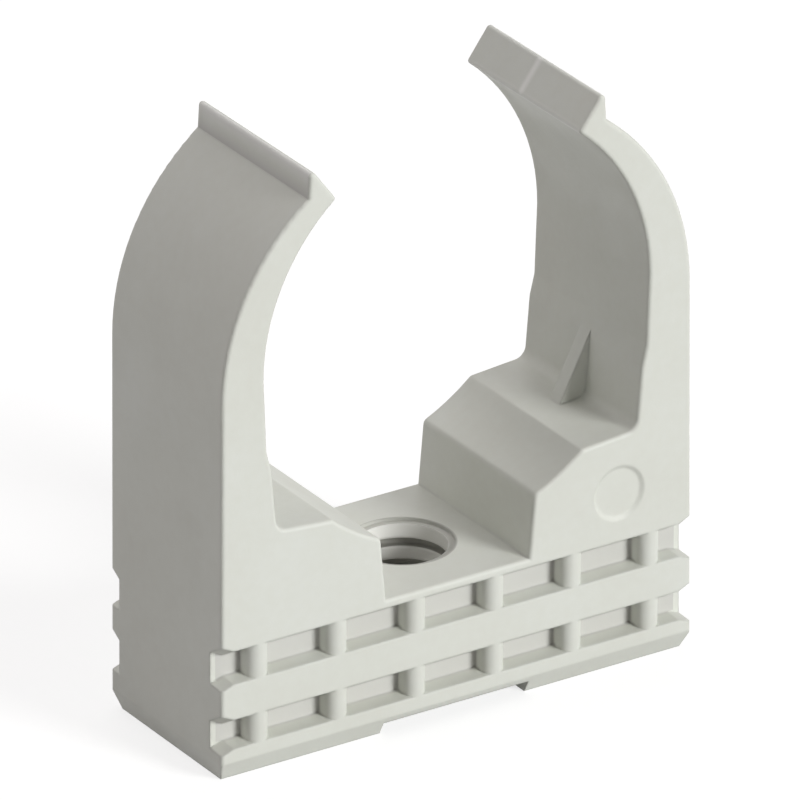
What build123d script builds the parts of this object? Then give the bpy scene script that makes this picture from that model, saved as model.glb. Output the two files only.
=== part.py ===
from build123d import *
import os
from math import cos, radians, sin, sqrt, tan

# Open snap-in clip for rigid conduit, one moulding of light grey plastic.
# X runs across the jaw, Y along the conduit and Z up. The origin is the middle
# of the standing plane. The front, with the mark of the ejector pin, faces -Y.

# Conduit, and the jaw that holds it above the base
conduit_diameter = 32.0
jaw_clearance = 0.05
jaw_radius = conduit_diameter / 2 + jaw_clearance
base_height = 10.8
conduit_gap = 3.55
jaw_axis_height = base_height + conduit_gap + jaw_radius
clip_depth = 14.7

# Shoulders that the conduit rests on, each with a seat behind its ridge
shoulder_gap = 12.0
wall_foot_x = shoulder_gap / 2
wall_lean = 0.45
wall_top_x = wall_foot_x + wall_lean
shoulder_height = 7.8
seat_height = base_height + shoulder_height
ridge_drop = 0.38
ridge_height = seat_height - ridge_drop
seat_corner_rounding = 0.9
ridge_rounding = 0.4
wall_top_rounding = 0.5

# Arms, thicker at the root, with outer sides that widen downward by the draft
arm_thickness = 3.5
half_width = jaw_radius + arm_thickness
outer_arc_offset = 1.75
outer_arc_drop = 1.3
outer_arc_height = jaw_axis_height - outer_arc_drop
outer_arc_radius = half_width - outer_arc_offset
side_draft = radians(0.5)
root_foot_inset = 1.0
root_foot_x = jaw_radius - root_foot_inset
root_inset = 0.6
root_x = jaw_radius - root_inset
root_rise = 4.7
root_height = seat_height + root_rise
root_start_inset = 0.2
root_start_x = jaw_radius - root_start_inset
root_slope_height = 1.6
root_start_height = root_height + root_slope_height
root_blend = 1.5

# Lips, with a lead-in that slants up and out from each tip
lip_rise = 12.5
lip_tip_height = jaw_axis_height + lip_rise
lip_tip_x = sqrt(jaw_radius**2 - lip_rise**2)
lip_width = 2.3
lip_foot_x = lip_tip_x + lip_width
lip_lean = 0.15
lip_top_x = lip_foot_x - lip_lean
lead_in_slope = 1.35
lip_tip_rounding = 0.25
lip_top_rounding = 0.28

# Base, raised a little between its two feet and bevelled round the bottom
recess_width = 12.2
recess_height = 1.0
end_chamfer_width = 0.45
end_chamfer_height = 1.5
skirt_chamfer_width = 0.8
skirt_chamfer_height = 1.5
outline_rounding = 0.25
flange_height = 2.55
back_flange_height = 3.25
top_band_height = 0.6

# Pockets in the front and back of the base, two rows between upright ribs
lower_pocket_height = 2.3
upper_pocket_height = 2.6
back_lower_pocket_height = 2.15
back_upper_pocket_height = 1.85
pocket_depth = 1.55
back_pocket_depth = 1.1
ledge_slope = 0.05
ceiling_slope = 0.6
end_flare_width = 1.0
ledge_flare_height = 0.35
ceiling_flare_height = 0.5
back_ceiling_flare_height = 0.9
rib_count = 6
rib_width = 1.7
rib_flat = 0.1
rib_rounding = (rib_width - rib_flat) / 2
end_rib_inset = 3.1
rib_pitch = 2 * (half_width - end_rib_inset) / (rib_count - 1)

# Screw hole in the middle of the base, with ring grooves in its wall
screw_hole_radius = 3.3
rim_recess_width = 0.5
rim_recess_depth = 0.24
groove_width = 0.6
groove_height = 0.65
first_groove_depth = 1.35
groove_spacing = 1.65

# Gussets at the arm roots
gusset_thickness = 1.3
gusset_rise = 0.2
gusset_foot_x = 12.9
gusset_overlap = 0.6

# Mark of the ejector pin
pin_mark_x = 13.57
pin_mark_height = 14.0
pin_mark_radius = 2.15
pin_mark_rim_width = 0.3
pin_mark_depth = 0.2

cut_margin = 1.0


def jaw_x(height):
    """Half the width of the jaw circle at a height above the standing plane."""
    return sqrt(jaw_radius**2 - (height - jaw_axis_height) ** 2)


def jaw_low(x):
    """Height of the lower half of the jaw circle at a distance from the middle."""
    return jaw_axis_height - sqrt(jaw_radius**2 - x**2)


# Where the outer arc of the arm runs out into the drafted side
side_top_x = outer_arc_offset + outer_arc_radius * cos(side_draft)
side_top_height = outer_arc_height + outer_arc_radius * sin(side_draft)


def side_x(height):
    """Half the width over the drafted outer sides at a height."""
    return side_top_x + (side_top_height - height) * tan(side_draft)


def section():
    """Right half of the section across the conduit, in the XZ plane."""
    tip = (lip_tip_x, lip_tip_height)
    lip_top = (lip_top_x, lip_tip_height + lead_in_slope * (lip_top_x - lip_tip_x))
    outer_end_rise = sqrt(outer_arc_radius**2 - (lip_foot_x - outer_arc_offset) ** 2)
    lip_foot = (lip_foot_x, outer_arc_height + outer_end_rise)
    side_top = (side_top_x, side_top_height)
    jaw_side = (jaw_radius, jaw_axis_height)
    root_start = (root_start_x, root_start_height)
    root = (root_x, root_height)
    seat_corner = (root_foot_x, seat_height)
    ridge = (jaw_x(ridge_height), ridge_height)
    wall_top = (wall_top_x, jaw_low(wall_top_x))
    wall_foot = (wall_foot_x, base_height)
    with BuildSketch(Plane.XZ) as sketch:
        with BuildLine():
            Polyline(
                (0, base_height),
                (0, recess_height),
                (recess_width / 2, recess_height),
                (recess_width / 2, 0),
                (side_x(0) - end_chamfer_width, 0),
                (side_x(end_chamfer_height), end_chamfer_height),
                side_top,
            )
            RadiusArc(side_top, lip_foot, -outer_arc_radius)
            Polyline(lip_foot, lip_top, tip)
            RadiusArc(tip, jaw_side, jaw_radius)
            Polyline(jaw_side, root_start, root, seat_corner, ridge)
            RadiusArc(ridge, wall_top, jaw_radius)
            Polyline(wall_top, wall_foot, (0, base_height))
        make_face()
        for point, radius in (
            (tip, lip_tip_rounding),
            (lip_top, lip_top_rounding),
            (root_start, root_blend),
            (root, root_blend),
            (seat_corner, seat_corner_rounding),
            (ridge, ridge_rounding),
            (wall_top, wall_top_rounding),
        ):
            place = Vector(point[0], point[1], 0)
            fillet(sketch.vertices().sort_by_distance(place)[0], radius)
    return sketch.sketch


def main_body():
    """The section drawn out along the conduit, with rounded front and back outlines."""
    half = section()
    face = half + mirror(half, Plane.YZ)
    body = extrude(face, clip_depth / 2, both=True)
    for end in (0, -1):
        outline = body.faces().sort_by(Axis.Y)[end].edges()
        outline = outline.filter_by(lambda edge: edge.center().Z > base_height / 2)
        body = fillet(outline, outline_rounding)
    return body


def skirt_cutter(side):
    """Wedge that slants the lower edge of the front or back of the base."""
    outer = side * clip_depth / 2
    inner = outer - side * skirt_chamfer_width
    wedge = Polyline((outer, 0), (outer, skirt_chamfer_height), (inner, 0), close=True)
    profile = make_face(Plane.YZ * wedge)
    return extrude(profile, side_x(0) + cut_margin, both=True)


def row_outline(y, low, high, flare):
    """Outline of a row of pockets in one plane, opening up and down towards its ends."""
    start = side_x(high) - end_flare_width
    end = start + end_flare_width + cut_margin
    stretch = (end - start) / end_flare_width
    end_low = low - ledge_flare_height * stretch
    end_high = high + flare * stretch
    corners = ((start, high), (end, end_high), (end, end_low), (start, low))
    right = [(x, y, z) for x, z in corners]
    left = [(-x, y, z) for x, z in reversed(corners)]
    return make_face(Polyline(*right, *left, close=True))


def pocket_row(side, low, high, depth, flare):
    """A row of pockets on one side, with the ribs left standing between them."""
    outer = side * clip_depth / 2
    inner = outer - side * depth
    opening = row_outline(outer, low, high, flare)
    floor = row_outline(inner, low + ledge_slope * depth, high - ceiling_slope * depth, flare)
    row = loft([opening, floor], ruled=True)
    for number in range(rib_count):
        rib_x = (number - (rib_count - 1) / 2) * rib_pitch
        place = Pos(rib_x, (outer + inner) / 2, (low + high) / 2)
        rib = place * Box(rib_width, depth, high - low)
        upright = rib.edges().filter_by(Axis.Z)
        front = upright.sort_by(lambda edge: side * edge.center().Y)[-2:]
        row -= fillet(front, rib_rounding)
    return row


def pocket_cutter(side, flange, lower, upper, depth, flare):
    """Both rows of pockets on one side, above the flange and under the top band."""
    top = base_height - top_band_height
    lower_row = pocket_row(side, flange, flange + lower, depth, flare)
    return lower_row + pocket_row(side, top - upper, top, depth, flare)


def ring(radius, depth, height):
    """Round cut of a height in the screw hole, starting at a depth below the base's top."""
    disc = Cylinder(radius, height, align=(Align.CENTER, Align.CENTER, Align.MAX))
    return Pos(0, 0, base_height - depth) * disc


def screw_hole():
    """Stepped bore of the screw, with the shallow rim recess and two ring grooves."""
    hole = ring(screw_hole_radius, 0, base_height)
    hole += ring(screw_hole_radius + rim_recess_width, 0, rim_recess_depth)
    for depth in (first_groove_depth, first_groove_depth + groove_spacing):
        hole += ring(screw_hole_radius + groove_width, depth, groove_height)
    return hole


def gusset():
    """Upright web in the corner between the right arm and its seat, at half depth."""
    seat_rise = ridge_drop * (gusset_foot_x - jaw_x(ridge_height))
    seat_run = root_foot_x - jaw_x(ridge_height)
    foot = Vector(gusset_foot_x, ridge_height + seat_rise / seat_run)
    top = Vector(root_x, root_height + gusset_rise)
    reach = (top - foot).normalized() * gusset_overlap
    low, high = foot - reach, top + reach
    web = make_face(Plane.XZ * Polyline((low.X, low.Y), (high.X, high.Y), (high.X, low.Y), close=True))
    return extrude(web, gusset_thickness / 2, both=True)


body = main_body()
body -= skirt_cutter(-1)
body -= skirt_cutter(1)
body -= pocket_cutter(
    -1, flange_height, lower_pocket_height, upper_pocket_height, pocket_depth, ceiling_flare_height
)
body -= pocket_cutter(
    1,
    back_flange_height,
    back_lower_pocket_height,
    back_upper_pocket_height,
    back_pocket_depth,
    back_ceiling_flare_height,
)
body += gusset()
body += mirror(gusset(), Plane.YZ)
body -= screw_hole()
pin_mark = Cone(
    pin_mark_radius - pin_mark_rim_width,
    pin_mark_radius + pin_mark_rim_width,
    2 * pin_mark_depth,
    rotation=(90, 0, 0),
)
body -= Pos(pin_mark_x, -clip_depth / 2, pin_mark_height) * pin_mark

os.makedirs("parts", exist_ok=True)
export_step(body, "parts/clip_body.step")
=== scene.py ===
from math import cos, radians, sin

import bpy
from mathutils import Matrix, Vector

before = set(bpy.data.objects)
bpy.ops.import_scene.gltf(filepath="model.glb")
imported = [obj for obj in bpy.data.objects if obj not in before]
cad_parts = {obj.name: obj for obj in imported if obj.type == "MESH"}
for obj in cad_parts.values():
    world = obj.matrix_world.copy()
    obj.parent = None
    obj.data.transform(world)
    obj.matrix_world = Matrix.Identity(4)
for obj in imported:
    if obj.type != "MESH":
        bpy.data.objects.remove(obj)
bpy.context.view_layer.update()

# Conduit clip: one light grey moulding on a white floor, seen from the front and above.
# Places and lengths are in metres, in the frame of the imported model, and angles in degrees.
# The lens and the sensor are in millimetres.

# Camera, as the direction and distance of the photograph, and how far its view reaches:
# from its distance divided by the depth of view to its distance times that depth
CAMERA_AZIMUTH = -32.76
CAMERA_ELEVATION = 25.63
CAMERA_DISTANCE = 1.0416
CAMERA_TARGET = Vector((-0.000174, 0.0, 0.021937))
CAMERA_LENS = 664.2
SENSOR_WIDTH = 36.0
VIEW_DEPTH = 100

# Lamps, all aimed at the camera's target; only the direction of a distant lamp matters
LAMP_DISTANCE = 1.0
LAMPS = {
    "key": {
        "azimuth": 24.0,
        "elevation": 20.0,
        "width": 22.0,
        "strength": 2.76,
        "colour": (0.99, 1.0, 0.99),
    },
    "side_fill": {
        "azimuth": -105.0,
        "elevation": 28.0,
        "width": 60.0,
        "strength": 0.51,
        "colour": (1.0, 0.955, 0.955),
    },
    "top_fill": {
        "azimuth": 165.0,
        "elevation": 61.0,
        "width": 60.0,
        "strength": 0.9,
        "colour": (1.0, 0.97, 0.97),
    },
}

# Even light from all round, and the white background that is seen in its place
WORLD_COLOUR = (1.0, 0.96, 0.955)
WORLD_STRENGTH = 0.13
BACKGROUND_COLOUR = (1.0, 1.0, 1.0)
BACKGROUND_STRENGTH = 1.0

# Floor, whose glow for the camera makes it white outside the clip's shadow
FLOOR_SIZE = 4.0
FLOOR_HEIGHT = -0.00001
FLOOR_COLOUR = (0.43, 0.43, 0.43)
FLOOR_GLOW = 0.72

# Plastic: tones of its colour, from the darkest patch to the lightest, the middle one halfway
PLASTIC_DARK = (0.665, 0.668, 0.612)
PLASTIC_MIDDLE = (0.69, 0.70, 0.645)
PLASTIC_LIGHT = (0.715, 0.728, 0.682)
MIDDLE_SHARE = 0.5

# Plastic: the values that noise keeps between, and the seed of each noise
NOISE_RANGE = (0.3, 0.7)
PATCH_SEED = 1.0
SPECK_SEED = 2.0
GLOSS_SEED = 3.0
WAVE_SEED = 4.0
GRAIN_SEED = 5.0

# Plastic: patches and specks of its colour, and patches of its gloss
PATCH_SIZE = 0.012
SPECK_SIZE = 0.0008
SPECK_SHARE = 0.3
GLOSS_SIZE = 0.003
ROUGHNESS_LOW = 0.46
ROUGHNESS_HIGH = 0.58

# Plastic: slow waves and fine grain of its surface, and the rounding that softens its edges
WAVE_SIZE = 0.007
WAVE_HEIGHT = 0.00003
GRAIN_SIZE = 0.00025
GRAIN_HEIGHT = 0.000004
EDGE_SOFTNESS = 0.00028

# Painted highlights on the lips: a pale line across each lead-in near half depth, standing in for
# light on a fine ridge there, and pale tips where their rounded edges catch light
PAINTED_HIGHLIGHT_COLOUR = (0.88, 0.88, 0.85)
LINE_Y = 0.00045
LINE_HALF_WIDTH = 0.0005
LINE_END_X = 0.0119
LINE_BOTTOM = 0.0429
TIP_HEIGHT = 0.0427
TIP_HALF_WIDTH = 0.0006
TIP_END_X = 0.0111

# Outer faces of the lips, between their rounded ends: painted shade at the foot, painted highlight
# at the top
LIP_OUTER_X = 0.012
LIP_END_Y = 0.0071
LIP_FOOT = 0.0434
LIP_MIDDLE = 0.0443
LIP_TOP = 0.0451
LIP_FOOT_SHADE = 0.75
LIP_TOP_HIGHLIGHT = 0.8

# Screw hole: painted light on its wall, painted shade in the rim and grooves outside it
HOLE_WALL_LIGHT_COLOUR = (0.88, 0.87, 0.84)
HOLE_WALL_LIGHT_SHARE = 0.8
HOLE_SHADE_COLOUR = (0.34, 0.325, 0.30)
RIM_SHADE = 0.45
GROOVE_SHADE = 0.7
WALL_RADIUS = 0.00332
SHADE_RADIUS = 0.00396
RING_EDGE = 0.00006
RIM_BOTTOM = 0.0104
GROOVE_TOP = 0.0095
GROOVE_BOTTOM = 0.007

# Painted shade, of one colour, at the feet of the lips and on the floors of the front pockets
RECESS_SHADE_COLOUR = (0.50, 0.487, 0.475)
POCKET_SHADE = 0.6
POCKET_END_X = 0.0193
POCKET_INSIDE_Y = 0.005
POCKET_BACK_Y = 0.0058
POCKET_UNSHADED_Y = 0.0062
POCKET_BOTTOM = 0.0026
POCKET_TOP = 0.0103


def direction(azimuth, elevation):
    """Unit vector from the clip towards an azimuth and an elevation; azimuth 0 is in front."""
    turn = radians(azimuth)
    rise = radians(elevation)
    return Vector((sin(turn) * cos(rise), -cos(turn) * cos(rise), sin(rise)))


def add_aimed(name, data, azimuth, elevation, distance):
    """Adds a camera or lamp at a distance from the target and turns it to the target."""
    thing = bpy.data.objects.new(name, data)
    bpy.context.scene.collection.objects.link(thing)
    place = CAMERA_TARGET + direction(azimuth, elevation) * distance
    thing.location = place
    thing.rotation_euler = (CAMERA_TARGET - place).to_track_quat("-Z", "Y").to_euler()
    return thing


def add_camera():
    """The camera of the photograph: far away, with a long lens."""
    data = bpy.data.cameras.new("camera")
    data.sensor_width = SENSOR_WIDTH
    data.lens = CAMERA_LENS
    data.clip_start = CAMERA_DISTANCE / VIEW_DEPTH
    data.clip_end = CAMERA_DISTANCE * VIEW_DEPTH
    camera = add_aimed("camera", data, CAMERA_AZIMUTH, CAMERA_ELEVATION, CAMERA_DISTANCE)
    bpy.context.scene.camera = camera


def add_lamp(name, azimuth, elevation, width, strength, colour):
    """A distant soft lamp, which lights the floor as evenly as the clip."""
    data = bpy.data.lights.new(name, "SUN")
    data.energy = strength
    data.color = colour
    data.angle = radians(width)
    add_aimed(name, data, azimuth, elevation, LAMP_DISTANCE)


def opaque(colour):
    """A colour with full opacity added to it."""
    return (*colour, 1)


def of_type(sockets, kind):
    """Those of some sockets that carry one kind of value, in their order."""
    return [socket for socket in sockets if socket.type == kind]


def calculate(tree, operation, *values):
    """Result of a calculation with outputs and numbers."""
    node = tree.nodes.new("ShaderNodeMath")
    node.operation = operation
    for socket, value in zip(node.inputs, values):
        if isinstance(value, float):
            socket.default_value = value
        else:
            tree.links.new(value, socket)
    return node.outputs["Value"]


def repeated(tree, operation, *values):
    """Result of one operation on all of some outputs and numbers, taken in their order."""
    result = values[0]
    for value in values[1:]:
        result = calculate(tree, operation, result, value)
    return result


def product(tree, *values):
    """Product of some outputs and numbers."""
    return repeated(tree, "MULTIPLY", *values)


def largest(tree, *values):
    """Largest of some outputs and numbers."""
    return repeated(tree, "MAXIMUM", *values)


def over(tree, value, limit):
    """One where a value is greater than a limit, otherwise nothing."""
    return calculate(tree, "GREATER_THAN", value, limit)


def under(tree, value, limit):
    """One where a value is less than a limit, otherwise nothing."""
    return calculate(tree, "LESS_THAN", value, limit)


def spread(tree, value, value_range, result_range, ease="LINEAR"):
    """Maps a value from one range to another, and keeps it within that."""
    node = tree.nodes.new("ShaderNodeMapRange")
    node.interpolation_type = ease
    node.inputs["From Min"].default_value, node.inputs["From Max"].default_value = value_range
    node.inputs["To Min"].default_value, node.inputs["To Max"].default_value = result_range
    tree.links.new(value, node.inputs["Value"])
    return node.outputs["Result"]


def stripe(tree, value, middle, half_width):
    """One where a value is the middle's, and less towards the sides of the stripe."""
    distance = calculate(tree, "ABSOLUTE", calculate(tree, "SUBTRACT", value, middle))
    return spread(tree, distance, (0, half_width), (1, 0), "SMOOTHSTEP")


def blend(tree, share, first, second):
    """Colour between an output and a plain colour, by the share of the plain one."""
    mix = tree.nodes.new("ShaderNodeMix")
    mix.data_type = "RGBA"
    first_colour, second_colour = of_type(mix.inputs, "RGBA")
    tree.links.new(share, mix.inputs["Factor"])
    tree.links.new(first, first_colour)
    second_colour.default_value = opaque(second)
    return of_type(mix.outputs, "RGBA")[0]


def noise(tree, place, size, seed):
    """Seeded noise with features of a size, whose value keeps near a half."""
    node = tree.nodes.new("ShaderNodeTexNoise")
    node.noise_dimensions = "4D"
    node.inputs["W"].default_value = seed
    node.inputs["Scale"].default_value = 1 / size
    tree.links.new(place, node.inputs["Vector"])
    return node.outputs["Fac"]


def bump(tree, height, distance, normal):
    """Relief of a height over the normal of a surface."""
    node = tree.nodes.new("ShaderNodeBump")
    node.inputs["Distance"].default_value = distance
    tree.links.new(height, node.inputs["Height"])
    tree.links.new(normal, node.inputs["Normal"])
    return node.outputs["Normal"]


def join_shaders(tree, kind, *shaders):
    """Adds a node of a kind that puts two shaders together, with both linked to it."""
    node = tree.nodes.new(kind)
    for socket, shader in zip(of_type(node.inputs, "SHADER"), shaders):
        tree.links.new(shader, socket)
    return node


def seen_directly(tree):
    """One for rays that show a surface to the camera or in a reflection, otherwise nothing."""
    path = tree.nodes.new("ShaderNodeLightPath").outputs
    return largest(tree, path["Is Camera Ray"], path["Is Glossy Ray"], path["Is Transmission Ray"])


def background(tree, colour, strength):
    """Light of one colour and strength from all round."""
    node = tree.nodes.new("ShaderNodeBackground")
    node.inputs["Color"].default_value = opaque(colour)
    node.inputs["Strength"].default_value = strength
    return node.outputs["Background"]


def add_world():
    """Even light from all round, with a white background."""
    world = bpy.data.worlds.new("studio")
    bpy.context.scene.world = world
    world.use_nodes = True
    tree = world.node_tree
    tree.nodes.clear()
    light = background(tree, WORLD_COLOUR, WORLD_STRENGTH)
    white = background(tree, BACKGROUND_COLOUR, BACKGROUND_STRENGTH)
    mix = join_shaders(tree, "ShaderNodeMixShader", light, white)
    tree.links.new(seen_directly(tree), mix.inputs["Fac"])
    output = tree.nodes.new("ShaderNodeOutputWorld")
    tree.links.new(mix.outputs["Shader"], output.inputs["Surface"])


def add_floor():
    """White floor, which keeps the shadow of the clip."""
    bpy.ops.mesh.primitive_plane_add(size=FLOOR_SIZE, location=(0, 0, FLOOR_HEIGHT))
    floor = bpy.context.object
    floor.name = "floor"
    material = bpy.data.materials.new("floor")
    material.use_nodes = True
    tree = material.node_tree
    tree.nodes.clear()
    diffuse = tree.nodes.new("ShaderNodeBsdfDiffuse")
    diffuse.inputs["Color"].default_value = opaque(FLOOR_COLOUR)
    glow = tree.nodes.new("ShaderNodeEmission")
    tree.links.new(product(tree, seen_directly(tree), FLOOR_GLOW), glow.inputs["Strength"])
    both = join_shaders(
        tree, "ShaderNodeAddShader", diffuse.outputs["BSDF"], glow.outputs["Emission"]
    )
    output = tree.nodes.new("ShaderNodeOutputMaterial")
    tree.links.new(both.outputs["Shader"], output.inputs["Surface"])
    floor.data.materials.append(material)


def plastic_tone(tree, place):
    """Broad patches and fine specks in three close tones."""
    patches = noise(tree, place, PATCH_SIZE, PATCH_SEED)
    specks = noise(tree, place, SPECK_SIZE, SPECK_SEED)
    patch_tone = spread(tree, patches, NOISE_RANGE, (0, 1 - SPECK_SHARE))
    speck_tone = spread(tree, specks, NOISE_RANGE, (0, SPECK_SHARE))
    ramp = tree.nodes.new("ShaderNodeValToRGB")
    ramp.color_ramp.elements.new(MIDDLE_SHARE)
    tones = (PLASTIC_DARK, PLASTIC_MIDDLE, PLASTIC_LIGHT)
    for element, tone in zip(ramp.color_ramp.elements, tones):
        element.color = opaque(tone)
    tree.links.new(calculate(tree, "ADD", patch_tone, speck_tone), ramp.inputs["Fac"])
    return ramp.outputs["Color"]


def lip_share(tree, side, depth, z, heights, shares):
    """Share of a colour on the outer faces of the lips, which changes between two heights; it
    carries the painted highlight at the top and the painted shade at the foot.
    """
    return product(
        tree,
        spread(tree, z, heights, shares),
        over(tree, side, LIP_OUTER_X),
        under(tree, depth, LIP_END_Y),
        over(tree, z, LIP_FOOT),
    )


def painted_highlight_share(tree, side, depth, y, z):
    """Share of the painted highlights on the lips: the line across the lead-in, the tip and the
    top.
    """
    line = product(
        tree,
        stripe(tree, y, LINE_Y, LINE_HALF_WIDTH),
        under(tree, side, LINE_END_X),
        over(tree, z, LINE_BOTTOM),
    )
    tip = product(
        tree,
        stripe(tree, z, TIP_HEIGHT, TIP_HALF_WIDTH),
        under(tree, side, TIP_END_X),
        under(tree, depth, LIP_END_Y),
    )
    top = lip_share(tree, side, depth, z, (LIP_MIDDLE, LIP_TOP), (0, LIP_TOP_HIGHLIGHT))
    return largest(tree, line, tip, top)


def hole_wall_light_share(tree, radius):
    """Share of the painted light on the wall of the screw hole."""
    return product(tree, under(tree, radius, WALL_RADIUS), HOLE_WALL_LIGHT_SHARE)


def hole_shade_share(tree, radius, z):
    """Share of painted shade in the rim and in the grooves of the screw hole."""
    return product(
        tree,
        spread(tree, radius, (WALL_RADIUS, WALL_RADIUS + RING_EDGE), (0, 1)),
        spread(tree, radius, (SHADE_RADIUS - RING_EDGE, SHADE_RADIUS), (1, 0)),
        spread(tree, z, (GROOVE_TOP, RIM_BOTTOM), (GROOVE_SHADE, RIM_SHADE)),
        over(tree, z, GROOVE_BOTTOM),
    )


def recess_shade_share(tree, side, depth, z):
    """Share of painted shade on the pockets' floors and in the corners at the feet of the lips."""
    pocket = product(
        tree,
        spread(tree, depth, (POCKET_BACK_Y, POCKET_UNSHADED_Y), (POCKET_SHADE, 0), "SMOOTHSTEP"),
        over(tree, depth, POCKET_INSIDE_Y),
        under(tree, side, POCKET_END_X),
        over(tree, z, POCKET_BOTTOM),
        under(tree, z, POCKET_TOP),
    )
    foot = lip_share(tree, side, depth, z, (LIP_FOOT, LIP_MIDDLE), (LIP_FOOT_SHADE, 0))
    return largest(tree, pocket, foot)


def plastic_colour(tree, place):
    """Tone of the plastic under its painted highlights, the painted light on its hole's wall and
    its painted shade.
    """
    split = tree.nodes.new("ShaderNodeSeparateXYZ")
    tree.links.new(place, split.inputs["Vector"])
    x, y, z = split.outputs
    side = calculate(tree, "ABSOLUTE", x)
    depth = calculate(tree, "ABSOLUTE", y)
    squares = calculate(tree, "ADD", product(tree, x, x), product(tree, y, y))
    radius = calculate(tree, "SQRT", squares)
    # Layers of painted light and shade: highlights on the lips, light on the hole's wall, shade in
    # the hole's rim and grooves, shade on the pockets' floors and at the lips' feet
    layers = (
        (painted_highlight_share(tree, side, depth, y, z), PAINTED_HIGHLIGHT_COLOUR),
        (hole_wall_light_share(tree, radius), HOLE_WALL_LIGHT_COLOUR),
        (hole_shade_share(tree, radius, z), HOLE_SHADE_COLOUR),
        (recess_shade_share(tree, side, depth, z), RECESS_SHADE_COLOUR),
    )
    colour = plastic_tone(tree, place)
    for share, layer_colour in layers:
        colour = blend(tree, share, colour, layer_colour)
    return colour


def plastic():
    """Satin moulded plastic, light grey with a trace of green."""
    material = bpy.data.materials.new("light_grey_plastic")
    material.use_nodes = True
    tree = material.node_tree
    shader = tree.nodes["Principled BSDF"]
    place = tree.nodes.new("ShaderNodeTexCoord").outputs["Object"]
    tree.links.new(plastic_colour(tree, place), shader.inputs["Base Color"])

    gloss = noise(tree, place, GLOSS_SIZE, GLOSS_SEED)
    roughness = spread(tree, gloss, NOISE_RANGE, (ROUGHNESS_LOW, ROUGHNESS_HIGH))
    tree.links.new(roughness, shader.inputs["Roughness"])

    edges = tree.nodes.new("ShaderNodeBevel")
    edges.inputs["Radius"].default_value = EDGE_SOFTNESS
    waves = noise(tree, place, WAVE_SIZE, WAVE_SEED)
    waved = bump(tree, waves, WAVE_HEIGHT, edges.outputs["Normal"])
    grain = noise(tree, place, GRAIN_SIZE, GRAIN_SEED)
    tree.links.new(bump(tree, grain, GRAIN_HEIGHT, waved), shader.inputs["Normal"])
    return material


bpy.context.scene.view_settings.view_transform = "Standard"
add_camera()
for name, lamp in LAMPS.items():
    add_lamp(name, **lamp)
add_world()
add_floor()

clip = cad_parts["clip_body"]
clip.data.materials.clear()
clip.data.materials.append(plastic())
